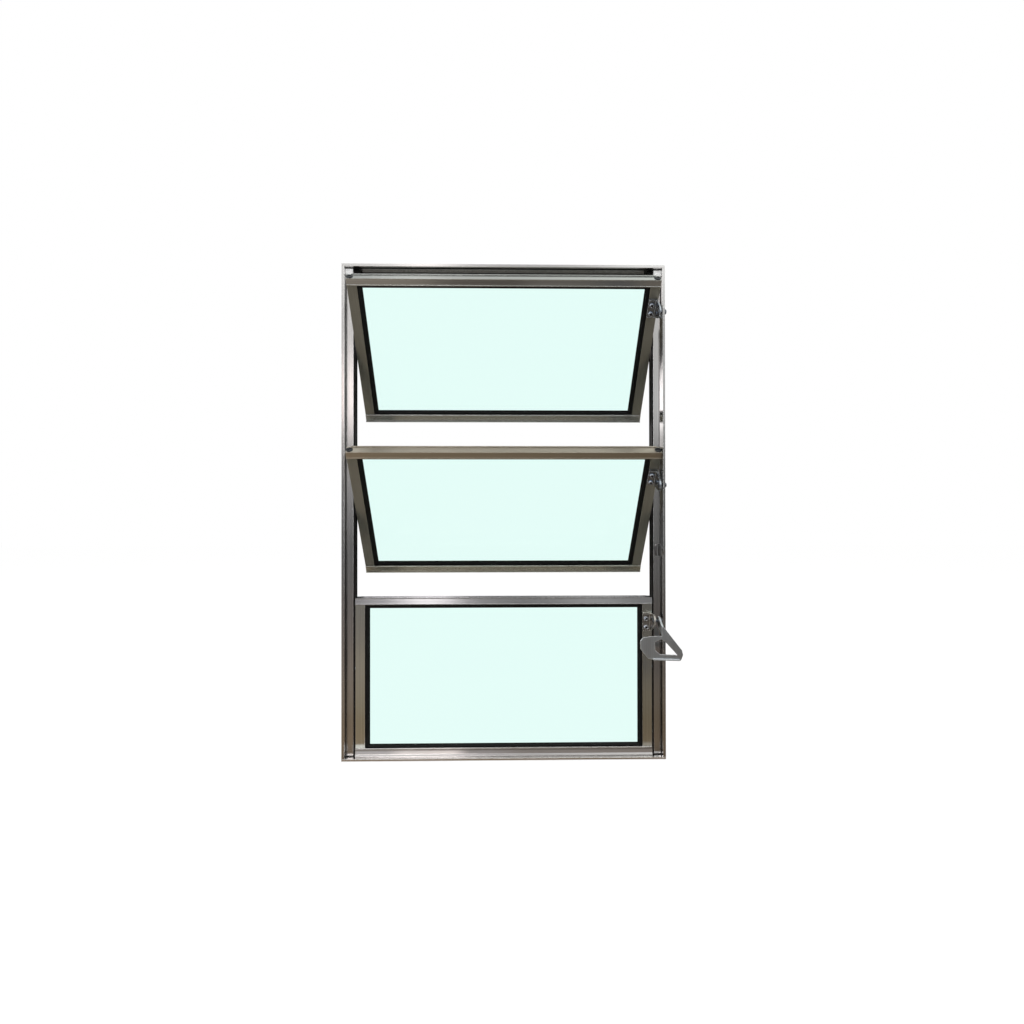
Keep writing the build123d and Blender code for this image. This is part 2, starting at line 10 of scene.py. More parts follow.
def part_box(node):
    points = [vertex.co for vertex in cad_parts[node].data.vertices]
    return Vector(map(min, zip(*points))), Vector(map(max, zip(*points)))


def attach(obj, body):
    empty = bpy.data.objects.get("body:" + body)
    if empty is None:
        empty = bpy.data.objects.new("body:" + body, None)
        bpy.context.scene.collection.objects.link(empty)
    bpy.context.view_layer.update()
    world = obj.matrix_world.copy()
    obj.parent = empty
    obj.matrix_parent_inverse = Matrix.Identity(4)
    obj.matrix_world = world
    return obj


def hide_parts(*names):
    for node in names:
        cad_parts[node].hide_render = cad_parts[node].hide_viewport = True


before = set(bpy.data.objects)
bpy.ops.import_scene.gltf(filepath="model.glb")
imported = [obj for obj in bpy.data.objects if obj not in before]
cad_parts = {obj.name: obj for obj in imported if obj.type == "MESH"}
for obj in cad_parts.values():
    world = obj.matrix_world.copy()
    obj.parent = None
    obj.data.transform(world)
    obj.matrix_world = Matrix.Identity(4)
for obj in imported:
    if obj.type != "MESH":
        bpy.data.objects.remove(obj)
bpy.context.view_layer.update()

bl_info = {
    "name": "Horizontal pivot window",
    "version": (1, 0, 0),
    "blender": (4, 5, 0),
    "location": "View3D > Sidebar > Window",
    "description": "Finishes, screws and studio for a three-sash window on horizontal pivots",
    "category": "Object",
}

SASHES = ("lower", "middle", "upper")
SIDES = ("left", "right")


# Settings


def colour_setting(name, description, default):
    """A colour that the user can change."""
    return FloatVectorProperty(
        name=name, description=description, subtype="COLOR", size=3, min=0, max=1, default=default
    )


def length_setting(name, description, default):
    """A length in metres that the user can change."""
    return FloatProperty(name=name, description=description, unit="LENGTH", default=default)


class MetalFinish(PropertyGroup):
    """Colours and polish of the aluminium and steel."""

    frame_colour: colour_setting(
        "Frame colour", "Mill-finished aluminium of the outer frame", (0.49, 0.485, 0.48)
    )
    sash_colour: colour_setting(
        "Sash colour", "Mill-finished aluminium of the sash rails and stiles", (0.46, 0.45, 0.435)
    )
    fitting_colour: colour_setting(
        "Fitting colour", "Rolled sheet of the brackets and the bar", (0.40, 0.40, 0.395)
    )
    lever_colour: colour_setting(
        "Lever colour", "Satin sheet of the hand lever", (0.63, 0.68, 0.72)
    )
    # Painted shade: the catch's sheet is darkened for the shade in its slots
    catch_colour: colour_setting(
        "Catch colour", "Dark sheet of the catch at the bar's tail", (0.14, 0.14, 0.14)
    )
    screw_colour: colour_setting(
        "Screw colour", "Zinc-plated steel of the screws, rivets and pivots", (0.58, 0.65, 0.75)
    )
    # Painted shade: the rail screws' steel is a darkened copy of the screw colour
    shaded_screw_colour: colour_setting(
        "Shaded screw colour", "Darkened steel of the screws in the rails", (0.05, 0.055, 0.06)
    )
    roughness: FloatProperty(
        name="Roughness",
        description="How dull the extruded aluminium is",
        subtype="FACTOR",
        min=0,
        max=1,
        default=0.15,
    )
    edge_radius: FloatProperty(
        name="Edge radius",
        description="Radius that softens the edges of extrusions and sheet",
        unit="LENGTH",
        min=0,
        max=0.002,
        precision=5,
        default=0.0007,
    )


class GlazingFinish(PropertyGroup):
    """Colours of the panes and the rubber round them."""

    glass_colour: colour_setting(
        "Glass colour", "Pale green tint of the panes", (0.796, 1.0, 0.954)
    )
    rubber_colour: colour_setting(
        "Rubber colour", "Black of the gaskets, seals and end caps", (0.005, 0.005, 0.005)
    )


class ScrewSizes(PropertyGroup):
    """Sizes of the screw heads, and how far the upper sashes stand open."""

    rail_head_radius: length_setting(
        "Rail screw head", "Radius of the heads that hold the rails to the stiles", 0.0040
    )
    bracket_head_radius: length_setting(
        "Bracket screw head", "Radius of the heads that hold the brackets to the stiles", 0.0031
    )
    bracket_head_height: length_setting(
        "Bracket head height", "How far the bracket screws' heads stand up from the plates", 0.0024
    )
    rail_head_height: length_setting(
        "Rail head height", "How far the rail screws' heads stand up from the rails", 0.0012
    )
    open_angle: FloatProperty(
        name="Opening",
        description="Angle at which the upper two sashes stand open",
        unit="ROTATION",
        default=radians(40.7),
    )


class StudioLayout(PropertyGroup):
    """Where the camera stands and how bright the studio is."""

    camera_place: FloatVectorProperty(
        name="Camera place",
        description="Where the camera stands",
        subtype="TRANSLATION",
        unit="LENGTH",
        size=3,
        default=(-0.00707, -0.8439, 0.2957),
    )
    camera_turn: FloatVectorProperty(
        name="Camera turn",
        description="How the camera is turned",
        subtype="EULER",
        unit="ROTATION",
        size=3,
        default=(pi / 2 + 0.0054, 0.001, -0.0199),
    )
    camera_lens: FloatProperty(
        name="Focal length",
        description="Focal length on a sensor 36 mm wide, in millimetres",
        default=24.155,
    )
    floor_colour: colour_setting("Floor colour", "Plain pale floor", (0.88, 0.88, 0.88))
    key_power: FloatProperty(
        name="Key power",
        description="Power of the large soft lamp at the upper left",
        unit="POWER",
        default=36.0,
    )
    fill_power: FloatProperty(
        name="Fill power",
        description="Power of the soft lamp at the right",
        unit="POWER",
        default=13.0,
    )


# Node helpers


def new_material(name):
    """A material with an empty node tree, its output and its main shader."""
    material = bpy.data.materials.new(name)
    material.use_nodes = True
    tree = material.node_tree
    tree.nodes.clear()
    output = tree.nodes.new("ShaderNodeOutputMaterial")
    shader = tree.nodes.new("ShaderNodeBsdfPrincipled")
    tree.links.new(shader.outputs["BSDF"], output.inputs["Surface"])
    return material, tree, shader, output


def math_node(tree, operation, first, second=None, third=None):
    """A Math node on sockets or plain numbers; returns its output."""
    node = tree.nodes.new("ShaderNodeMath")
    node.operation = operation
    for socket, value in zip(node.inputs, (first, second, third)):
        if isinstance(value, bpy.types.NodeSocket):
            tree.links.new(value, socket)
        elif value is not None:
            socket.default_value = value
    return node.outputs[0]


def map_range(tree, value, low, high, to_low, to_high, smooth=False):
    """A clamped Map Range node; returns its output."""
    node = tree.nodes.new("ShaderNodeMapRange")
    if smooth:
        node.interpolation_type = "SMOOTHSTEP"
    tree.links.new(value, node.inputs["Value"])
    for socket, number in (
        ("From Min", low),
        ("From Max", high),
        ("To Min", to_low),
        ("To Max", to_high),
    ):
        node.inputs[socket].default_value = number
    return node.outputs["Result"]


def mix_colour(tree, factor, first, second, blend="MIX"):
    """A colour Mix node on sockets or plain colours; returns its output."""
    node = tree.nodes.new("ShaderNodeMix")
    node.data_type = "RGBA"
    node.blend_type = blend
    for socket, value in (("Factor", factor), ("A", first), ("B", second)):
        kind = "VALUE" if socket == "Factor" else "RGBA"
        target = [s for s in node.inputs if s.name == socket and s.type == kind][0]
        if isinstance(value, bpy.types.NodeSocket):
            tree.links.new(value, target)
        elif kind == "VALUE":
            target.default_value = value
        else:
            target.default_value = (*value, 1)
    return [s for s in node.outputs if s.type == "RGBA"][0]


def noise(tree, coordinates, scale, detail=2.0, roughness=0.5):
    """A Noise Texture node; returns its value output."""
    node = tree.nodes.new("ShaderNodeTexNoise")
    tree.links.new(coordinates, node.inputs["Vector"])
    node.inputs["Scale"].default_value = scale
    node.inputs["Detail"].default_value = detail
    node.inputs["Roughness"].default_value = roughness
    return node.outputs[0]


def mapped(tree, coordinates, turn=(0, 0, 0), scale=(1, 1, 1)):
    """A Mapping node; returns its output."""
    node = tree.nodes.new("ShaderNodeMapping")
    tree.links.new(coordinates, node.inputs["Vector"])
    node.inputs["Rotation"].default_value = turn
    node.inputs["Scale"].default_value = scale
    return node.outputs["Vector"]


def tinted(colour, tint):
    """A colour times a tint, part by part."""
    return tuple(min(1.0, part * share) for part, share in zip(colour, tint))


def scaled(colour, share):
    """A colour made darker or lighter."""
    return tinted(colour, (share, share, share))


def object_coordinates(tree):
    """Places measured from a piece's own origin."""
    return tree.nodes.new("ShaderNodeTexCoord").outputs["Object"]


def colour_ramp(tree, value, stops):
    """A Color Ramp node through (place, colour) stops; returns its colour output."""
    node = tree.nodes.new("ShaderNodeValToRGB")
    node.color_ramp.interpolation = "EASE"
    elements = node.color_ramp.elements
    while len(elements) < len(stops):
        elements.new(0.5)
    for element, (place, colour) in zip(elements, stops):
        element.position = place
        element.color = (*colour, 1)
    tree.links.new(value, node.inputs["Fac"])
    return node.outputs["Color"]


def edge_mask(tree, radius):
    """Softened normals at the edges, and a mask that is 1 along them."""
    bevel = tree.nodes.new("ShaderNodeBevel")
    bevel.samples = 4
    bevel.inputs["Radius"].default_value = radius
    geometry = tree.nodes.new("ShaderNodeNewGeometry")
    dot = tree.nodes.new("ShaderNodeVectorMath")
    dot.operation = "DOT_PRODUCT"
    tree.links.new(bevel.outputs["Normal"], dot.inputs[0])
    tree.links.new(geometry.outputs["Normal"], dot.inputs[1])
    return bevel.outputs["Normal"], map_range(tree, dot.outputs["Value"], 0.999, 0.86, 0, 1)


def rippled(tree, shader, height, soft_normal, strength, distance):
    """Gives a shader a fine relief on top of its softened normals."""
    bump = tree.nodes.new("ShaderNodeBump")
    bump.inputs["Strength"].default_value = strength
    bump.inputs["Distance"].default_value = distance
    tree.links.new(height, bump.inputs["Height"])
    tree.links.new(soft_normal, bump.inputs["Normal"])
    tree.links.new(bump.outputs["Normal"], shader.inputs["Normal"])


def mix_shaders(tree, factor, first, second, output):
    """Mixes two shaders into the output."""
    either = tree.nodes.new("ShaderNodeMixShader")
    for socket, target in zip((factor, first, second), either.inputs):
        tree.links.new(socket, target)
    tree.links.new(either.outputs["Shader"], output.inputs["Surface"])


# Metals: where a noise's values mostly lie, and how its pattern is packed across and along a piece
NOISE_SPAN = (0.3, 0.7)
LINE_SCALES = (1400.0, 5.0)
BAND_SCALES = (90.0, 2.5)
SCUFF_SCALES = (500, 500, 90)
EDGE_WEAR = 0.06


def stretched(tree, place, along, across_scale, along_scale):
    """Coordinates drawn out along one axis."""
    scale = [across_scale] * 3
    scale["XYZ".index(along)] = along_scale
    return mapped(tree, place, scale=scale)


def burred(tree, shader, edges, burr, film=0.0):
    """Lets a dull film all over and the burr along the edges scatter their shares of the light."""
    bright = map_range(tree, edges, 0.2, 1, 1 - film, min(1 - film, 1 - burr))
    tree.links.new(bright, shader.inputs["Metallic"])


def drawn_metal(
    name, colour, roughness, edge_radius, along, tilt=0.0, shine=2.2, burr=0.0, film=0.0
):
    """Metal with fine drawn lines along one axis, uneven polish, and a painted highlight along its edges,
    shine times as bright.
    """
    material, tree, shader, _ = new_material(name)
    place = mapped(tree, object_coordinates(tree), turn=(-tilt, 0, 0))
    lines = noise(tree, stretched(tree, place, along, *LINE_SCALES), 1.0, detail=3.0)
    bands = noise(tree, stretched(tree, place, along, *BAND_SCALES), 1.0)
    patches = noise(tree, place, 26.0, detail=3.0, roughness=0.6)
    soft_normal, edges = edge_mask(tree, edge_radius)

    dull, light = scaled(colour, 0.88), scaled(colour, 1.09)
    tone = mix_colour(tree, map_range(tree, lines, *NOISE_SPAN, 0, 1), dull, light)
    tone = mix_colour(tree, map_range(tree, patches, 0.35, 0.75, 0, 0.2), tone, dull)
    # Painted highlight: the base colour is made shine times as bright along the edges.
    tone = mix_colour(tree, edges, tone, scaled(colour, shine))
    tree.links.new(tone, shader.inputs["Base Color"])

    polish = map_range(tree, bands, *NOISE_SPAN, roughness - 0.02, roughness + 0.03)
    polish = math_node(tree, "ADD", polish, map_range(tree, patches, 0.4, 0.8, 0, 0.03))
    polish = math_node(tree, "ADD", polish, math_node(tree, "MULTIPLY", edges, EDGE_WEAR))
    tree.links.new(polish, shader.inputs["Roughness"])
    burred(tree, shader, edges, burr, film)
    rippled(tree, shader, lines, soft_normal, 0.05, 0.00003)
    return material


def rolled_sheet(name, colour, roughness, edge_radius, shine, burr):
    """Stamped sheet: faint scuffs in every direction, a painted highlight along the cut edges and a fine burr
    there.
    """
    material, tree, shader, _ = new_material(name)
    place = object_coordinates(tree)
    scuffs = noise(tree, mapped(tree, place, scale=SCUFF_SCALES), 1.0, detail=4.0, roughness=0.65)
    clouds = noise(tree, place, 60.0, detail=3.0)
    _, edges = edge_mask(tree, edge_radius)
    soft_normal, _ = edge_mask(tree, 0.4 * edge_radius)
    dull, light = scaled(colour, 0.82), scaled(colour, 1.1)
    tone = mix_colour(tree, map_range(tree, scuffs, *NOISE_SPAN, 0, 1), dull, light)
    tone = mix_colour(tree, map_range(tree, clouds, 0.4, 0.8, 0, 0.4), tone, dull)
    # Painted highlight: the cut edges are made shine times as bright.
    tone = mix_colour(tree, edges, tone, scaled(colour, shine))
    tree.links.new(tone, shader.inputs["Base Color"])
    polish = map_range(tree, clouds, *NOISE_SPAN, roughness - 0.05, roughness + 0.08)
    polish = math_node(tree, "ADD", polish, math_node(tree, "MULTIPLY", edges, EDGE_WEAR))
    tree.links.new(polish, shader.inputs["Roughness"])
    burred(tree, shader, edges, burr)
    rippled(tree, shader, scuffs, soft_normal, 0.12, 0.00005)
    return material


def plated_steel(name, colour, edge_radius):
    """Zinc plate with slight mottling, darker where it has dulled, and a painted highlight along its edges.
    """
    material, tree, shader, _ = new_material(name)
    place = object_coordinates(tree)
    mottle = noise(tree, place, 900.0, detail=3.0, roughness=0.6)
    soft_normal, edges = edge_mask(tree, edge_radius)
    tone = mix_colour(tree, map_range(tree, mottle, 0.35, 0.7, 0, 1), colour, scaled(colour, 0.7))
    # Painted highlight: the edges are made 1.8 times as bright.
    tone = mix_colour(tree, edges, tone, scaled(colour, 1.8))
    tree.links.new(tone, shader.inputs["Base Color"])
    tree.links.new(map_range(tree, mottle, *NOISE_SPAN, 0.10, 0.22), shader.inputs["Roughness"])
    burred(tree, shader, edges, 0.35)
    tree.links.new(soft_normal, shader.inputs["Normal"])
    return material


def dark_recess(name):
    """Painted shade in the recess of a screw head: near-black tones, speckled at random."""
    material, tree, shader, _ = new_material(name)
    speckle = noise(tree, object_coordinates(tree), 2500.0, detail=3.0)
    paler = map_range(tree, speckle, 0.35, 0.7, 0, 1)
    # Painted shade: the recess gets near-black tones where shade falls in it.
    tone = mix_colour(tree, paler, (0.006, 0.006, 0.008), (0.02, 0.02, 0.022))
    tree.links.new(tone, shader.inputs["Base Color"])
    shader.inputs["Roughness"].default_value = 0.6
    return material


# Nylon, rubber and glass


def white_nylon(name):
    """Moulded white nylon with a faint yellowing, and a painted glow standing in for the light that would
    shine through it from behind.
    """
    material, tree, shader, _ = new_material(name)
    aged = noise(tree, object_coordinates(tree), 300.0, detail=2.0)
    yellowing = map_range(tree, aged, 0.35, 0.7, 0, 1)
    tone = mix_colour(tree, yellowing, (0.93, 0.93, 0.94), (0.88, 0.87, 0.86))
    tree.links.new(tone, shader.inputs["Base Color"])
    shader.inputs["Roughness"].default_value = 0.4
    shader.inputs["Subsurface Weight"].default_value = 0.2
    shader.inputs["Subsurface Radius"].default_value = (0.002, 0.002, 0.002)
    # Painted light: a faint glow, though the nylon is no lamp.
    shader.inputs["Emission Color"].default_value = (1, 1, 1, 1)
    shader.inputs["Emission Strength"].default_value = 0.25
    return material


def black_rubber(name, colour, edge_radius):
    """Extruded rubber: nearly black, with a fine grain and a dusty bloom."""
    material, tree, shader, _ = new_material(name)
    place = object_coordinates(tree)
    grain = noise(tree, place, 2600.0, detail=3.0, roughness=0.7)
    bloom = noise(tree, place, 45.0, detail=4.0, roughness=0.6)
    paler = tuple(2.0 * part + 0.002 for part in colour)
    tone = mix_colour(tree, map_range(tree, bloom, 0.5, 0.8, 0, 0.5), colour, paler)
    tree.links.new(tone, shader.inputs["Base Color"])
    tree.links.new(map_range(tree, grain, *NOISE_SPAN, 0.42, 0.6), shader.inputs["Roughness"])
    shader.inputs["Specular IOR Level"].default_value = 0.14
    soft_normal, _ = edge_mask(tree, edge_radius)
    rippled(tree, shader, grain, soft_normal, 0.25, 0.00005)
    return material


def tinted_glass(name, colour):
    """Clear float glass that lamps pass through, tinted to the eye but not in what the metal mirrors."""
    material, tree, shader, output = new_material(name)
    place = object_coordinates(tree)
    drift = noise(tree, place, 5.0, detail=1.0)
    deeper = tuple(part**1.04 for part in colour)
    tone = mix_colour(tree, map_range(tree, drift, *NOISE_SPAN, 0, 1), colour, deeper)
    rays = tree.nodes.new("ShaderNodeLightPath")
    mirrored = math_node(tree, "GREATER_THAN", rays.outputs["Glossy Depth"], 0.5)
    tone = mix_colour(tree, mirrored, tone, (1, 1, 1))
    tree.links.new(tone, shader.inputs["Base Color"])
    shader.inputs["Transmission Weight"].default_value = 1.0
    shader.inputs["Roughness"].default_value = 0.0
    shader.inputs["IOR"].default_value = 1.2
    shader.inputs["Specular IOR Level"].default_value = 0.08
    passing = tree.nodes.new("ShaderNodeBsdfTransparent")
    passing.inputs["Color"].default_value = (*colour, 1)
    mix_shaders(tree, rays.outputs["Is Shadow Ray"], shader.outputs["BSDF"], passing.outputs["BSDF"], output)
    return material


# Finishing the carried-over pieces


def finish_nodes(names, material):
    """Gives CAD pieces a material in their own slots."""
    for name in names:
        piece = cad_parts[name]
        if piece.data.materials:
            for place in range(len(piece.data.materials)):
                piece.data.materials[place] = material
        else:
            piece.data.materials.append(material)


def tilt_of(sash, sizes):
    """How far a sash stands open."""
    return 0.0 if sash == "lower" else sizes.open_angle


# Each rail's tint, which paints in the light and shade that fall on it, its roughness, share of the edge
# radius, the shine of its edges' painted highlight and their burr, and its film
RAIL_FINISHES = (
    ("lower", "top", (0.86, 0.88, 0.93), 0.13, 0.7, 2.0, 0.25, 0.0),
    ("lower", "bottom", (0.98, 0.98, 1.0), 0.15, 1.0, 2.2, 0.2, 0.0),
    ("middle", "top", (1.09, 1.03, 0.91), 0.32, 0.7, 1.4, 0.25, 0.0),
    ("middle", "bottom", (0.82, 0.82, 0.70), 0.17, 1.6, 3.0, 0.65, 0.22),
    ("upper", "top", (1.2, 1.28, 1.3), 0.15, 0.7, 1.3, 0.25, 0.0),
    ("upper", "bottom", (0.80, 0.84, 0.80), 0.15, 1.6, 3.0, 0.4, 0.22),
)
# The shut and the open sashes' stiles: their tint, which paints in the light on the shut stiles and the shade
# on the open ones, and their film
STILE_FINISHES = (
    ("shut", SASHES[:1], (1.3, 1.38, 1.32), 0.0),
    ("open", SASHES[1:], (0.335, 0.325, 0.275), 0.6),
)
# Painted light: the head stop and the sill are lighter copies of the frame's aluminium
STOP_TINT = (1.3, 1.34, 1.3)
SILL_SHARE = 1.8
# Painted light: the upper brackets are tinted cool and the lower bracket warm, for the light they mirror
UPPER_BRACKET_TINT = (0.9, 0.99, 1.1)
LOWER_BRACKET_TINT = (1.12, 1.05, 0.98)
LOWER_BRACKET_ROUGHNESS = 0.26
LEVER_ROUGHNESS = 0.33
CATCH_ROUGHNESS = 0.3
STEEL_PARTS = ("left_pivot", "right_pivot", "rivet")


class PIVOTWINDOW_OT_finish_frame(Operator):
    """Finish the head, sill, jambs, jamb tubes and head stop"""

    bl_idname = "pivot_window.finish_frame"
    bl_label = "Finish frame"

    def execute(self, context):
        metal = context.scene.window_metal
        plain = metal.frame_colour
        sides = [f"{side}_{part}" for side in SIDES for part in ("jamb", "jamb_tube")]
        for name, nodes, colour, along in (
            ("frame_aluminium_upright", sides, plain, "Z"),
            ("frame_aluminium_level", ["head"], plain, "X"),
            ("stop_aluminium", ["head_stop"], tinted(plain, STOP_TINT), "X"),
            ("sill_aluminium", ["sill"], scaled(plain, SILL_SHARE), "X"),
        ):
            finish_nodes(nodes, drawn_metal(name, colour, metal.roughness, metal.edge_radius, along))
        return {"FINISHED"}


class PIVOTWINDOW_OT_finish_sashes(Operator):
    """Finish the rails and stiles of the three sashes"""

    bl_idname = "pivot_window.finish_sashes"
    bl_label = "Finish sashes"

    def execute(self, context):
        metal = context.scene.window_metal
        sizes = context.scene.window_screws
        for sash, part, tint, roughness, edge_share, shine, burr, film in RAIL_FINISHES:
            name = f"{sash}_{part}_rail"
            colour = tinted(metal.sash_colour, tint)
            edge = edge_share * metal.edge_radius
            rail = drawn_metal(
                f"{name}_aluminium", colour, roughness, edge, "X", shine=shine, burr=burr, film=film
            )
            finish_nodes([name], rail)
        for kind, sashes, tint, film in STILE_FINISHES:
            name = f"{kind}_stile_aluminium"
            colour = tinted(metal.sash_colour, tint)
            tilt = tilt_of(sashes[0], sizes)
            stile = drawn_metal(name, colour, metal.roughness, metal.edge_radius, "Z", tilt, film=film)
            finish_nodes([f"{sash}_{side}_stile" for sash in sashes for side in SIDES], stile)
        return {"FINISHED"}


class PIVOTWINDOW_OT_glaze(Operator):
    """Finish the panes, gaskets, jamb seals and end caps"""

    bl_idname = "pivot_window.glaze"
    bl_label = "Glaze"

    def execute(self, context):
        glazing = context.scene.window_glazing
        metal = context.scene.window_metal
        glass = tinted_glass("pale_green_glass", glazing.glass_colour)
        rubber = black_rubber("black_rubber", glazing.rubber_colour, metal.edge_radius)
        finish_nodes([f"{sash}_glass" for sash in SASHES], glass)
        finish_nodes([f"{sash}_gasket" for sash in SASHES], rubber)
        finish_nodes([f"{side}_{part}" for side in SIDES for part in ("jamb_seal", "stop_cap")], rubber)
        return {"FINISHED"}


class PIVOTWINDOW_OT_finish_fittings(Operator):
    """Finish the brackets, bar, catch, lever and pivots"""

    bl_idname = "pivot_window.finish_fittings"
    bl_label = "Finish fittings"

    def execute(self, context):
        metal = context.scene.window_metal
        edge = metal.edge_radius
        cool = tinted(metal.fitting_colour, UPPER_BRACKET_TINT)
        sheet = rolled_sheet("fitting_sheet", cool, metal.roughness, edge, shine=2.3, burr=0.55)
        finish_nodes([f"{sash}_bracket" for sash in SASHES[1:]], sheet)
        # Painted light: the lower bracket's sheet is tinted warm; its higher roughness is wear.
        warm = tinted(metal.fitting_colour, LOWER_BRACKET_TINT)
        worn_and_warm_lit = rolled_sheet("worn_and_warm_lit_sheet", warm, LOWER_BRACKET_ROUGHNESS, edge, shine=2.3, burr=0.7)
        finish_nodes(["lower_bracket"], worn_and_warm_lit)
        # Painted shade: the catch is given a near-black sheet.
        dark = rolled_sheet("dark_catch", metal.catch_colour, CATCH_ROUGHNESS, edge, shine=3.0, burr=0.3)
        finish_nodes(["bar_catch"], dark)
        satin = drawn_metal(
            "satin_lever", metal.lever_colour, LEVER_ROUGHNESS, edge, "Z", shine=1.8, burr=0.8
        )
        finish_nodes(["hand_lever"], satin)
        bar = drawn_metal("fitting_bar", metal.fitting_colour, metal.roughness, edge, "Z")
        finish_nodes(["control_bar"], bar)
        steel = plated_steel("fitting_steel", metal.screw_colour, edge)
        finish_nodes([f"{sash}_{part}" for sash in SASHES for part in STEEL_PARTS], steel)
        return {"FINISHED"}


# New small pieces, in metres, radians and shares
CLOSE_BY = 0.0001
BRACKET_SHEET = 0.0015
SMOOTH_BELOW = radians(38)
PAN_SIDES = 24
# A pan head's rings from its foot to its flat top, in shares of its radius and height
PAN_RINGS = ((1.0, 0.3), (0.96, 0.55), (0.88, 0.78), (0.79, 0.93), (0.7, 1.0))
RECESS_ARM = 0.6
RECESS_HALF_WIDTH = 0.25
RECESS_TAPER = 0.7
RECESS_BOTTOM = 0.25
RAIL_SCREW_INSET = 0.0038
RAIL_SLOT_TURNS = (0.4, 1.4)
BRACKET_SCREW_INSET = 0.0042
BRACKET_SCREW_DROPS = (0.0060, 0.0165)
BRACKET_SLOT_TURNS = (0.5, 2.5)
RIVET_SHADE = 0.2
RIVET_SIDES = 32
RIVET_SHANK_SHARE = 0.56
RIVET_INNER_HEAD = 0.0008
RIVET_OUTER_HEAD = 0.0016
RIVET_RISE = 0.0018
# The inner head's outline, in shares of its thickness and of the rivet's radius
RIVET_INNER_OUTLINE = ((0.0, 0.0), (0.0, 0.6), (0.4, 0.92), (1.0, 1.0))
DOME_STEPS = 5
DOME_TURN = radians(75)
BLOCK_MARGIN = 0.0006
BLOCK_TOP = 0.0016
BLOCK_HEIGHT = 0.0085
BLOCK_DEPTH = 0.0022
BLOCK_RIB = 0.0008
BLOCK_RIBS = 4
BLOCK_RIB_SHARE = 0.62
# A thin black strip under the head's bead that paints in the shadow there: its thickness, overhang, reach and
# inset
SHADOW_STRIP_THICKNESS = 0.0008
SHADOW_STRIP_OVERHANG = 0.0008
SHADOW_STRIP_REACH = 0.0012
SHADOW_STRIP_INSET = 0.0033


def centre_line(low, high):
    """Where a box's middle line along X crosses the middle of the window."""
    return Vector((0, (low[1] + high[1]) / 2, (low[2] + high[2]) / 2))


def pivot_centre(sash):
    """Where a sash's pivot axis crosses the middle of the window."""
    return centre_line(*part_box(f"{sash}_right_pivot"))


def corners_of(name):
    """The places of a CAD piece's vertices."""
    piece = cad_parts[name]
    return [piece.matrix_world @ vert.co for vert in piece.data.vertices]


def only(items, kind):
    """The vertices, edges or faces among what a bmesh operator returns."""
    return [item for item in items if isinstance(item, kind)]


def sash_pose(sash, sizes):
    """Takes places measured from the shut sash's pivot axis to where the sash stands."""
    return Matrix.Translation(pivot_centre(sash)) @ Matrix.Rotation(tilt_of(sash, sizes), 4, "X")


def plate_corner(sash, pose):
    """Upper left corner of a bracket's plate front, measured in the sash's own frame."""
    corners = [pose.inverted() @ corner for corner in corners_of(f"{sash}_bracket")]
    front = max(corner.y for corner in corners) - BRACKET_SHEET
    plate = [corner for corner in corners if abs(corner.y - front) < CLOSE_BY]
    return Vector((min(c.x for c in plate), plate[0].y, max(c.z for c in plate)))


def add_pan_head(bm, radius, height, slot_turn, seat):
    """A pan head with a crossed recess, on a seat matrix whose Z points away from the metal."""
    made = bmesh.ops.create_circle(bm, cap_ends=False, segments=PAN_SIDES, radius=radius)
    parts = list(made["verts"])
    edges = list({edge for vert in parts for edge in vert.link_edges})
    for share, rise in PAN_RINGS:
        grown = bmesh.ops.extrude_edge_only(bm, edges=edges)["geom"]
        verts = only(grown, bmesh.types.BMVert)
        edges = [edge for edge in only(grown, bmesh.types.BMEdge) if all(v in verts for v in edge.verts)]
        for vert in verts:
            flat = Vector((vert.co.x, vert.co.y, 0)).normalized() * radius * share
            vert.co = Vector((flat.x, flat.y, height * rise))
        parts += verts
    arm, half = radius * RECESS_ARM, radius * RECESS_HALF_WIDTH
    cross = []
    for quarter in range(4):
        turn = Matrix.Rotation(quarter * pi / 2, 3, "Z")
        for point in ((half, half), (arm, half), (arm, -half)):
            cross.append(bm.verts.new(turn @ Vector((*point, height))))
    order = sorted(cross, key=lambda vert: atan2(vert.co.y, vert.co.x))
    rim = [bm.edges.new(pair) for pair in zip(order, order[1:] + order[:1])]
    bmesh.ops.triangle_fill(bm, edges=edges + rim, use_beauty=True, normal=(0, 0, 1))
    parts += cross
    sunk = bmesh.ops.extrude_edge_only(bm, edges=rim)["geom"]
    floor = only(sunk, bmesh.types.BMVert)
    for vert in floor:
        vert.co = Vector((vert.co.x * RECESS_TAPER, vert.co.y * RECESS_TAPER, height * RECESS_BOTTOM))
    parts += floor
    recess = only(sunk, bmesh.types.BMFace) + bmesh.ops.contextual_create(bm, geom=floor)["faces"]
    for face in recess:
        face.material_index = 1
    bmesh.ops.transform(bm, matrix=seat @ Matrix.Rotation(slot_turn, 4, "Z"), verts=parts)


def add_box(bm, size, centre):
    """A box of a size about a centre."""
    made = bmesh.ops.create_cube(bm, size=1.0)
    bmesh.ops.scale(bm, vec=size, verts=made["verts"])
    bmesh.ops.translate(bm, vec=centre, verts=made["verts"])


def linked(name, bm):
    """Makes an object of a bmesh and links it to the scene."""
    mesh = bpy.data.meshes.new(name)
    bm.to_mesh(mesh)
    bm.free()
    made = bpy.data.objects.new(name, mesh)
    bpy.context.scene.collection.objects.link(made)
    return made


def new_piece(name, bm, materials, smooth=True):
    """Makes a finished piece of a bmesh, riding on the window."""
    bmesh.ops.recalc_face_normals(bm, faces=bm.faces)
    piece = linked(name, bm)
    for material in materials:
        piece.data.materials.append(material)
    if smooth:
        piece.data.shade_smooth()
        piece.data.set_sharp_from_angle(angle=SMOOTH_BELOW)
    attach(piece, "root")
    return piece


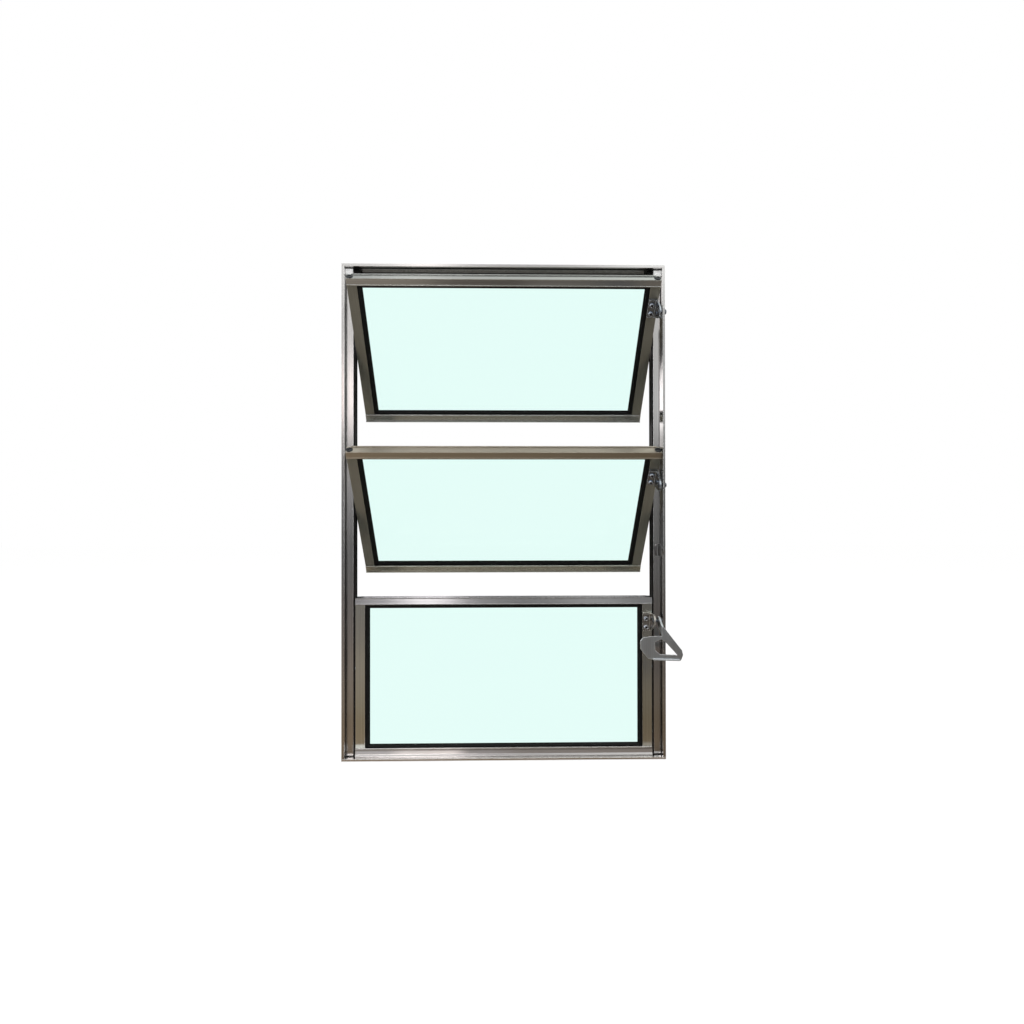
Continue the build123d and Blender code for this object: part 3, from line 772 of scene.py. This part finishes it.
class PIVOTWINDOW_OT_fit_rail_screws(Operator):
    """Set a pan-head screw through each end of each sash's top rail into the stile below it"""

    bl_idname = "pivot_window.fit_rail_screws"
    bl_label = "Fit rail screws"

    def execute(self, context):
        sizes = context.scene.window_screws
        metal = context.scene.window_metal
        # Painted shade: the rail screws get the darkened steel.
        steel = plated_steel("rail_screw_steel", metal.shaded_screw_colour, metal.edge_radius)
        recess = dark_recess("rail_screw_recess")
        corners = corners_of("lower_top_rail")
        far_end = max(corner.x for corner in corners)
        ends = [corner for corner in corners if corner.x > far_end - CLOSE_BY]
        rise = max(corner.z for corner in ends) - pivot_centre("lower").z
        depths = [corner.y for corner in ends]
        middle = (min(depths) + max(depths)) / 2 - pivot_centre("lower").y
        for sash in SASHES:
            bm = bmesh.new()
            for side, slot_turn in zip((-1, 1), RAIL_SLOT_TURNS):
                place = Vector((side * (far_end - RAIL_SCREW_INSET), middle, rise))
                seat = sash_pose(sash, sizes) @ Matrix.Translation(place)
                add_pan_head(bm, sizes.rail_head_radius, sizes.rail_head_height, slot_turn, seat)
            new_piece(f"{sash}_rail_screws", bm, (steel, recess))
        return {"FINISHED"}


class PIVOTWINDOW_OT_fit_bracket_screws(Operator):
    """Set two pan-head screws through each bracket into the stile"""

    bl_idname = "pivot_window.fit_bracket_screws"
    bl_label = "Fit bracket screws"

    def execute(self, context):
        sizes = context.scene.window_screws
        metal = context.scene.window_metal
        steel = plated_steel("bracket_screw_steel", metal.screw_colour, metal.edge_radius)
        recess = dark_recess("bracket_screw_recess")
        facing = Matrix.Rotation(pi / 2, 4, "X")
        for sash in SASHES:
            bm = bmesh.new()
            pose = sash_pose(sash, sizes)
            corner = plate_corner(sash, pose)
            for drop, slot_turn in zip(BRACKET_SCREW_DROPS, BRACKET_SLOT_TURNS):
                place = corner + Vector((BRACKET_SCREW_INSET, 0, -drop))
                seat = pose @ Matrix.Translation(place) @ facing
                add_pan_head(bm, sizes.bracket_head_radius, sizes.bracket_head_height, slot_turn, seat)
            new_piece(f"{sash}_bracket_screws", bm, (steel, recess))
        return {"FINISHED"}


class PIVOTWINDOW_OT_set_rivets(Operator):
    """Turn a domed rivet for each bracket, in place of the plain one"""

    bl_idname = "pivot_window.set_rivets"
    bl_label = "Set rivets"

    def execute(self, context):
        metal = context.scene.window_metal
        steel = plated_steel("rivet_steel", scaled(metal.screw_colour, RIVET_SHADE), metal.edge_radius)
        for sash in SASHES:
            low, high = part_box(f"{sash}_rivet")
            radius = (high[2] - low[2]) / 2
            shank = radius * RIVET_SHANK_SHARE
            inner, outer = low[0], high[0] + RIVET_RISE
            thin = inner + RIVET_INNER_HEAD
            thick = high[0] - RIVET_OUTER_HEAD
            profile = [
                (inner + along * RIVET_INNER_HEAD, reach * radius) for along, reach in RIVET_INNER_OUTLINE
            ]
            profile += [(thin, shank), (thick, shank), (thick, radius)]
            for step in range(1, DOME_STEPS + 1):
                share = step / DOME_STEPS
                dome = thick + (outer - thick) * sin(share * pi / 2)
                profile.append((dome, radius * cos(share * DOME_TURN)))
            profile.append((outer, 0.0))
            bm = bmesh.new()
            points = [bm.verts.new((along, 0, reach)) for along, reach in profile]
            lines = [bm.edges.new(pair) for pair in zip(points, points[1:])]
            bmesh.ops.spin(
                bm,
                geom=points + lines,
                cent=(0, 0, 0),
                axis=(1, 0, 0),
                angle=2 * pi,
                steps=RIVET_SIDES,
                use_merge=True,
                use_duplicate=False,
            )
            bmesh.ops.remove_doubles(bm, verts=bm.verts, dist=0.00001)
            bmesh.ops.translate(bm, verts=bm.verts, vec=centre_line(low, high))
            rivet = new_piece(f"{sash}_domed_rivet", bm, (steel,))
            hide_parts(f"{sash}_rivet")
        return {"FINISHED"}


class PIVOTWINDOW_OT_fit_corner_blocks(Operator):
    """Fit a ribbed nylon block to the top of each jamb tube, behind the head's bead"""

    bl_idname = "pivot_window.fit_corner_blocks"
    bl_label = "Fit corner blocks"

    def execute(self, context):
        nylon = white_nylon("white_nylon")
        head_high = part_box("head")[1]
        for side in SIDES:
            low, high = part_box(f"{side}_jamb_tube")
            across = high[0] - low[0] - 2 * BLOCK_MARGIN
            middle = (low[0] + high[0]) / 2
            top = head_high[2] - BLOCK_TOP
            height = top - BLOCK_HEIGHT / 2
            face = low[1] - BLOCK_DEPTH
            bm = bmesh.new()
            add_box(bm, (across, BLOCK_DEPTH, BLOCK_HEIGHT), (middle, face + BLOCK_DEPTH / 2, height))
            for rib in range(BLOCK_RIBS):
                place = middle + across * ((rib + 0.5) / BLOCK_RIBS - 0.5)
                size = (across / BLOCK_RIBS * BLOCK_RIB_SHARE, BLOCK_RIB, BLOCK_HEIGHT)
                add_box(bm, size, (place, face - BLOCK_RIB / 2, height))
            new_piece(f"{side}_corner_block", bm, (nylon,), smooth=False)
        return {"FINISHED"}


class PIVOTWINDOW_OT_fit_head_shadow_strip(Operator):
    """Fit a thin black rubber strip under the head, against the back of its bead, as painted shadow under the
    bead
    """

    bl_idname = "pivot_window.fit_head_seal"
    bl_label = "Fit head shadow strip"

    def execute(self, context):
        glazing = context.scene.window_glazing
        metal = context.scene.window_metal
        # Painted shadow: a black strip where the bead casts its shadow.
        rubber = black_rubber("head_shadow_strip_rubber", glazing.rubber_colour, 0.3 * metal.edge_radius)
        corners = corners_of("head")
        lowest = min(corner.z for corner in corners)
        lip = max(corner.y for corner in corners if corner.z < lowest + CLOSE_BY)
        half = max(corner.x for corner in corners) - SHADOW_STRIP_INSET
        height = SHADOW_STRIP_OVERHANG + SHADOW_STRIP_REACH
        centre = (0, lip + SHADOW_STRIP_THICKNESS / 2, lowest - SHADOW_STRIP_OVERHANG + height / 2)
        bm = bmesh.new()
        add_box(bm, (2 * half, SHADOW_STRIP_THICKNESS, height), centre)
        new_piece("head_shadow_strip", bm, (rubber,), smooth=False)
        return {"FINISHED"}


# Studio
SENSOR_WIDTH = 36.0
NEAREST_SEEN = 0.01
WORLD_LIGHT = (0.55, 0.5445, 0.539)
FLOOR_HALF = 6.0
FLOOR_WHITE_SHARE = 0.86
FLOOR_LIFT = 0.08
LAMP_AIM = (0, 0, 0.3)
# Each lamp's name, place, size and colour
LAMPS = (
    ("key_lamp", (-1.3, -1.4, 2.1), (1.2, 1.2), (1.0, 0.98, 0.95)),
    ("fill_lamp", (1.6, -1.0, 1.3), (0.9, 1.3), (0.95, 0.97, 1.0)),
    ("back_lamp", (0.4, 1.7, 1.6), (1.2, 0.8), (1.0, 1.0, 1.0)),
)
BACK_POWER = 10.0


def make_world():
    """A world white to camera, glossy and transmission rays, and dimmer where it lights dull surfaces."""
    world = bpy.data.worlds.new("white_studio")
    world.use_nodes = True
    tree = world.node_tree
    tree.nodes.clear()
    output = tree.nodes.new("ShaderNodeOutputWorld")
    background = tree.nodes.new("ShaderNodeBackground")
    rays = tree.nodes.new("ShaderNodeLightPath")
    seen = math_node(tree, "MAXIMUM", rays.outputs["Is Camera Ray"], rays.outputs["Is Glossy Ray"])
    seen = math_node(tree, "MAXIMUM", seen, rays.outputs["Is Transmission Ray"])
    tree.links.new(mix_colour(tree, seen, WORLD_LIGHT, (1, 1, 1)), background.inputs["Color"])
    tree.links.new(background.outputs["Background"], output.inputs["Surface"])
    bpy.context.scene.world = world


def make_floor(studio):
    """A pale floor, nearly white to the eye, that keeps a faint shadow."""
    bm = bmesh.new()
    bmesh.ops.create_grid(bm, x_segments=1, y_segments=1, size=FLOOR_HALF)
    floor = linked("floor", bm)
    material, tree, shader, output = new_material("pale_floor")
    tree.nodes.remove(shader)
    plain = tree.nodes.new("ShaderNodeBsdfDiffuse")
    plain.inputs["Color"].default_value = (*studio.floor_colour, 1)
    glow = tree.nodes.new("ShaderNodeEmission")
    glow.inputs["Color"].default_value = (1, 1, 1, 1)
    rays = tree.nodes.new("ShaderNodeLightPath")
    strength = math_node(tree, "MULTIPLY_ADD", rays.outputs["Is Camera Ray"], FLOOR_LIFT, 1.0)
    tree.links.new(strength, glow.inputs["Strength"])
    seen = math_node(tree, "MAXIMUM", rays.outputs["Is Camera Ray"], rays.outputs["Is Glossy Ray"])
    seen = math_node(tree, "MULTIPLY", seen, FLOOR_WHITE_SHARE)
    seen = math_node(tree, "MAXIMUM", seen, rays.outputs["Is Transmission Ray"])
    mix_shaders(tree, seen, plain.outputs["BSDF"], glow.outputs["Emission"], output)
    floor.data.materials.append(material)


# What the metal mirrors round the window: levels by height, and patches by bearing in degrees and by height.
# A patch has its middle, how far from it the light starts and stops fading, the same for its height, and its
# colour. A falloff has two places and the share of the light at each.
SURROUND_RADIUS = 2.4
SURROUND_HEIGHT = 2.6
SURROUND_SIDES = 96
SURROUND_STRENGTH = 2.0
SURROUND_LEVELS = (
    (0.00, 0.11),
    (0.20, 0.105),
    (0.28, 0.10),
    (0.40, 0.10),
    (0.50, 0.11),
    (0.56, 0.14),
    (0.65, 0.30),
    (0.74, 0.50),
    (0.84, 0.50),
    (0.95, 0.435),
    (1.10, 0.42),
    (1.21, 0.455),
    (1.30, 0.62),
    (1.45, 0.70),
    (2.60, 0.66),
)
SURROUND_FALLOFF = (0.2, 0.9, 1.0, 0.45)
SURROUND_PATCHES = (
    (-66.0, (14, 24), 0.5, (0.5, 0.75), (0.62, 0.62, 0.63)),
    (66.0, (14, 24), 0.5, (0.5, 0.75), (0.62, 0.62, 0.63)),
    (2.0, (4, 13), 2.0, (0.55, 0.75), (0.44, 0.44, 0.44)),
    (20.0, (2, 11), 1.50, (0.06, 0.16), (0.97, 0.97, 0.96)),
    (-17.2, (1.6, 3.5), 0.85, (0.10, 0.165), (0.80, 0.66, 0.62)),
    (-12.8, (1.4, 2.7), 0.42, (0.08, 0.13), (0.72, 0.71, 0.74)),
    (-8.2, (1.8, 3.6), 1.3, (0.70, 0.85), (1.25, 1.20, 1.18)),
    (-9.2, (3.5, 7.5), 0.85, (0.10, 0.18), (2.9, 2.75, 2.75)),
    (-7.4, (1.5, 2.9), 0.42, (0.11, 0.16), (1.25, 1.21, 1.23)),
    (10.5, (2.2, 4.5), 0.42, (0.10, 0.16), (0.50, 0.50, 0.49)),
)
# What it mirrors overhead: tones by place across
SKY_HEIGHT = 2.6
SKY_REACH = 2.4
SKY_FALLOFF = (0.5, 0.85, 1.7, 1.0)
SKY_TONES = (
    (-0.80, (0.54, 0.55, 0.55)),
    (-0.59, (0.62, 0.62, 0.60)),
    (-0.51, (0.77, 0.77, 0.75)),
    (-0.38, (0.90, 0.90, 0.87)),
    (-0.28, (0.84, 0.83, 0.80)),
    (-0.20, (0.70, 0.70, 0.67)),
    (0.10, (0.70, 0.71, 0.68)),
    (0.43, (0.78, 0.79, 0.75)),
    (0.80, (0.90, 0.91, 0.87)),
)
# What it mirrors on the floor: tones by depth
FLOOR_CARD_DEPTH = 2.4
FLOOR_CARD_HALF = 2.2
FLOOR_CARD_HEIGHT = 0.001
FLOOR_FALLOFF = (-0.35, 0.35, 1.1, 0.66)
FLOOR_TONES = (
    (-2.4, (0.22, 0.215, 0.21)),
    (-1.0, (0.25, 0.22, 0.205)),
    (-0.45, (0.33, 0.28, 0.235)),
    (-0.25, (0.32, 0.265, 0.205)),
    (-0.15, (0.30, 0.235, 0.165)),
    (-0.06, (0.33, 0.25, 0.175)),
    (-0.02, (0.28, 0.22, 0.165)),
    (-0.006, (0.22, 0.18, 0.15)),
    (0.02, (0.24, 0.20, 0.17)),
    (0.6, (0.26, 0.23, 0.21)),
    (2.4, (0.20, 0.19, 0.18)),
)
# Patches on the floor card by their place across and depth, which the topmost rail mirrors
FLOOR_PATCHES = (
    (-0.068, (0.07, 0.09), -0.56, (0.10, 0.15), (0.155, 0.132, 0.117)),
    (0.03, (0.015, 0.03), -0.56, (0.10, 0.15), (0.115, 0.10, 0.088)),
    (0.135, (0.07, 0.09), -0.56, (0.10, 0.15), (0.27, 0.24, 0.215)),
    (0.26, (0.035, 0.055), -0.56, (0.10, 0.15), (0.18, 0.173, 0.175)),
)
# What the lowest rail mirrors in a low card: tones by share of a span across
LOW_CARD_PLACE = -0.03
LOW_CARD_HEIGHT = 0.0095
LOW_CARD_HALF = 0.188
LOW_CARD_SPAN = (-0.2, 0.2)
LOW_CARD_TONES = (
    (0.00, (0.98, 0.95, 0.94)),
    (0.12, (0.98, 0.95, 0.94)),
    (0.20, (1.65, 1.56, 1.50)),
    (0.33, (1.75, 1.62, 1.56)),
    (0.40, (0.64, 0.60, 0.59)),
    (0.60, (0.46, 0.42, 0.39)),
    (1.00, (0.44, 0.39, 0.35)),
)


def add_patches(tree, across, up, lit, patches):
    """Mixes soft-edged patches of light into a colour, each in its own stretch across and up."""
    for middle, spread, height, reach, colour in patches:
        aside = math_node(tree, "ABSOLUTE", math_node(tree, "SUBTRACT", across, middle))
        above = math_node(tree, "ABSOLUTE", math_node(tree, "SUBTRACT", up, height))
        mask = math_node(
            tree,
            "MULTIPLY",
            map_range(tree, aside, *spread, 1, 0, smooth=True),
            map_range(tree, above, *reach, 1, 0, smooth=True),
        )
        lit = mix_colour(tree, mask, lit, colour)
    return lit


def make_glow(name, bm, paint, strength=1.0):
    """A card that only mirrored rays see, also through a pane; paint returns its colour from its place."""
    card = linked(name, bm)
    card.visible_camera = False
    card.visible_diffuse = False
    card.visible_shadow = False
    card.visible_volume_scatter = False
    material, tree, shader, output = new_material(name)
    tree.nodes.remove(shader)
    split = tree.nodes.new("ShaderNodeSeparateXYZ")
    tree.links.new(object_coordinates(tree), split.inputs["Vector"])
    glow = tree.nodes.new("ShaderNodeEmission")
    tree.links.new(paint(tree, *split.outputs), glow.inputs["Color"])
    glow.inputs["Strength"].default_value = strength
    rays = tree.nodes.new("ShaderNodeLightPath")
    clear = tree.nodes.new("ShaderNodeBsdfTransparent")
    mirrored = math_node(tree, "GREATER_THAN", rays.outputs["Glossy Depth"], 0.5)
    mix_shaders(tree, mirrored, clear.outputs["BSDF"], glow.outputs["Emission"], output)
    card.data.materials.append(material)


def tone_ramp(tree, value, tones):
    """A ramp through tones that lie along a value, from the first tone's place to the last one's."""
    low, high = tones[0][0], tones[-1][0]
    stops = [((place - low) / (high - low), tone) for place, tone in tones]
    return colour_ramp(tree, map_range(tree, value, low, high, 0, 1), stops)


def paint_surround(tree, across, depth, up):
    """Light round the window: dim near the floor, pale above, with a tall bright strip on the left."""
    tones = [(height, (level, level, 0.99 * level)) for height, level in SURROUND_LEVELS]
    lit = tone_ramp(tree, up, tones)
    bearing = math_node(tree, "ARCTAN2", across, math_node(tree, "ABSOLUTE", depth))
    patches = [(radians(middle), map(radians, spread), *rest) for middle, spread, *rest in SURROUND_PATCHES]
    lit = add_patches(tree, bearing, up, lit, patches)
    behind = map_range(tree, depth, *SURROUND_FALLOFF, smooth=True)
    return mix_colour(tree, 1.0, lit, behind, "MULTIPLY")


def make_surround():
    """Cards round the window that only its metal and glass reflect."""
    bm = bmesh.new()
    made = bmesh.ops.create_circle(bm, cap_ends=False, segments=SURROUND_SIDES, radius=SURROUND_RADIUS)
    edges = list({edge for vert in made["verts"] for edge in vert.link_edges})
    top = only(bmesh.ops.extrude_edge_only(bm, edges=edges)["geom"], bmesh.types.BMVert)
    bmesh.ops.translate(bm, verts=top, vec=(0, 0, SURROUND_HEIGHT))
    make_glow("reflection_cards", bm, paint_surround, SURROUND_STRENGTH)


def paint_sky(tree, across, depth, up):
    """Grey overhead, palest left of the middle and brighter close above the window."""
    close = map_range(tree, depth, *SKY_FALLOFF, smooth=True)
    return mix_colour(tree, 1.0, tone_ramp(tree, across, SKY_TONES), close, "MULTIPLY")


def make_sky():
    """A card overhead that the upward-facing metal reflects."""
    bm = bmesh.new()
    bmesh.ops.create_grid(bm, x_segments=1, y_segments=1, size=SKY_REACH)
    bmesh.ops.translate(bm, vec=(0, 0, SKY_HEIGHT), verts=bm.verts)
    make_glow("sky_card", bm, paint_sky)


def paint_floor_card(tree, across, depth, up):
    """Warm brown near the window and greyer further out, brighter on the left."""
    lit = add_patches(tree, across, depth, tone_ramp(tree, depth, FLOOR_TONES), FLOOR_PATCHES)
    side = map_range(tree, across, *FLOOR_FALLOFF, smooth=True)
    return mix_colour(tree, 1.0, lit, side, "MULTIPLY")


def make_floor_card():
    """A card on the floor that the lower and the downward-facing metal reflects."""
    bm = bmesh.new()
    bmesh.ops.create_grid(bm, x_segments=1, y_segments=1, size=1.0)
    bmesh.ops.scale(bm, vec=(FLOOR_CARD_HALF, FLOOR_CARD_DEPTH, 1.0), verts=bm.verts)
    bmesh.ops.translate(bm, vec=(0, 0, FLOOR_CARD_HEIGHT), verts=bm.verts)
    make_glow("floor_card", bm, paint_floor_card)


def paint_low_card(tree, across, depth, up):
    """Pale at the left, with the bright strip again and grey on the right."""
    return colour_ramp(tree, map_range(tree, across, *LOW_CARD_SPAN, 0, 1), LOW_CARD_TONES)


def make_low_card():
    """A low card standing on the floor, which only the bottom rail of the shut sash reflects."""
    bm = bmesh.new()
    bmesh.ops.create_grid(bm, x_segments=1, y_segments=1, size=1.0)
    bmesh.ops.scale(bm, vec=(LOW_CARD_HALF, LOW_CARD_HEIGHT / 2, 1.0), verts=bm.verts)
    stand = Matrix.Translation((0, LOW_CARD_PLACE, LOW_CARD_HEIGHT / 2)) @ Matrix.Rotation(pi / 2, 4, "X")
    bmesh.ops.transform(bm, matrix=stand, verts=bm.verts)
    make_glow("low_card", bm, paint_low_card)


def make_lamp(name, place, size, colour, power):
    """A soft lamp that the metal doesn't mirror."""
    light = bpy.data.lights.new(name, "AREA")
    light.shape = "RECTANGLE"
    light.size, light.size_y = size
    light.energy = power
    light.color = colour
    lamp = bpy.data.objects.new(name, light)
    lamp.location = place
    lamp.rotation_euler = (Vector(LAMP_AIM) - Vector(place)).to_track_quat("-Z", "Y").to_euler()
    lamp.visible_glossy = False
    bpy.context.scene.collection.objects.link(lamp)


class PIVOTWINDOW_OT_set_studio(Operator):
    """Lay the floor, hang the soft lamps and stand the camera where the photograph was taken"""

    bl_idname = "pivot_window.set_studio"
    bl_label = "Set studio"

    def execute(self, context):
        studio = context.scene.window_studio
        context.scene.view_settings.view_transform = "Standard"
        make_world()
        make_floor(studio)
        make_surround()
        make_sky()
        make_floor_card()
        make_low_card()
        for lamp, power in zip(LAMPS, (studio.key_power, studio.fill_power, BACK_POWER)):
            make_lamp(*lamp, power)
        lens = bpy.data.cameras.new("photograph_camera")
        lens.sensor_width = SENSOR_WIDTH
        lens.lens = studio.camera_lens
        lens.clip_start = NEAREST_SEEN
        camera = bpy.data.objects.new("photograph_camera", lens)
        camera.location = studio.camera_place
        camera.rotation_euler = studio.camera_turn
        context.scene.collection.objects.link(camera)
        context.scene.camera = camera
        return {"FINISHED"}


# Sidebar


OPERATORS = (
    PIVOTWINDOW_OT_finish_frame,
    PIVOTWINDOW_OT_finish_sashes,
    PIVOTWINDOW_OT_glaze,
    PIVOTWINDOW_OT_finish_fittings,
    PIVOTWINDOW_OT_fit_rail_screws,
    PIVOTWINDOW_OT_fit_bracket_screws,
    PIVOTWINDOW_OT_set_rivets,
    PIVOTWINDOW_OT_fit_corner_blocks,
    PIVOTWINDOW_OT_fit_head_shadow_strip,
    PIVOTWINDOW_OT_set_studio,
)
SETTINGS = (
    ("window_metal", MetalFinish),
    ("window_glazing", GlazingFinish),
    ("window_screws", ScrewSizes),
    ("window_studio", StudioLayout),
)


class PIVOTWINDOW_PT_sidebar(Panel):
    """Lists the settings and steps of the window"""

    bl_idname = "PIVOTWINDOW_PT_sidebar"
    bl_label = "Horizontal pivot window"
    bl_space_type = "VIEW_3D"
    bl_region_type = "UI"
    bl_category = "Window"

    def draw(self, context):
        for name, group in SETTINGS:
            column = self.layout.box().column(align=True)
            for prop in group.__annotations__:
                column.prop(getattr(context.scene, name), prop)
        for operator in OPERATORS:
            self.layout.operator(operator.bl_idname)


def register():
    for name, group in SETTINGS:
        bpy.utils.register_class(group)
        setattr(bpy.types.Scene, name, PointerProperty(type=group))
    for operator in OPERATORS:
        bpy.utils.register_class(operator)
    bpy.utils.register_class(PIVOTWINDOW_PT_sidebar)


def unregister():
    bpy.utils.unregister_class(PIVOTWINDOW_PT_sidebar)
    for operator in reversed(OPERATORS):
        bpy.utils.unregister_class(operator)
    for name, group in reversed(SETTINGS):
        delattr(bpy.types.Scene, name)
        bpy.utils.unregister_class(group)


def main():
    """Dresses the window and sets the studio."""
    register()
    bpy.ops.pivot_window.finish_frame()
    bpy.ops.pivot_window.finish_sashes()
    bpy.ops.pivot_window.glaze()
    bpy.ops.pivot_window.finish_fittings()
    bpy.ops.pivot_window.fit_rail_screws()
    bpy.ops.pivot_window.fit_bracket_screws()
    bpy.ops.pivot_window.set_rivets()
    bpy.ops.pivot_window.fit_corner_blocks()
    bpy.ops.pivot_window.fit_head_seal()
    bpy.ops.pivot_window.set_studio()


if __name__ == "__main__":
    main()
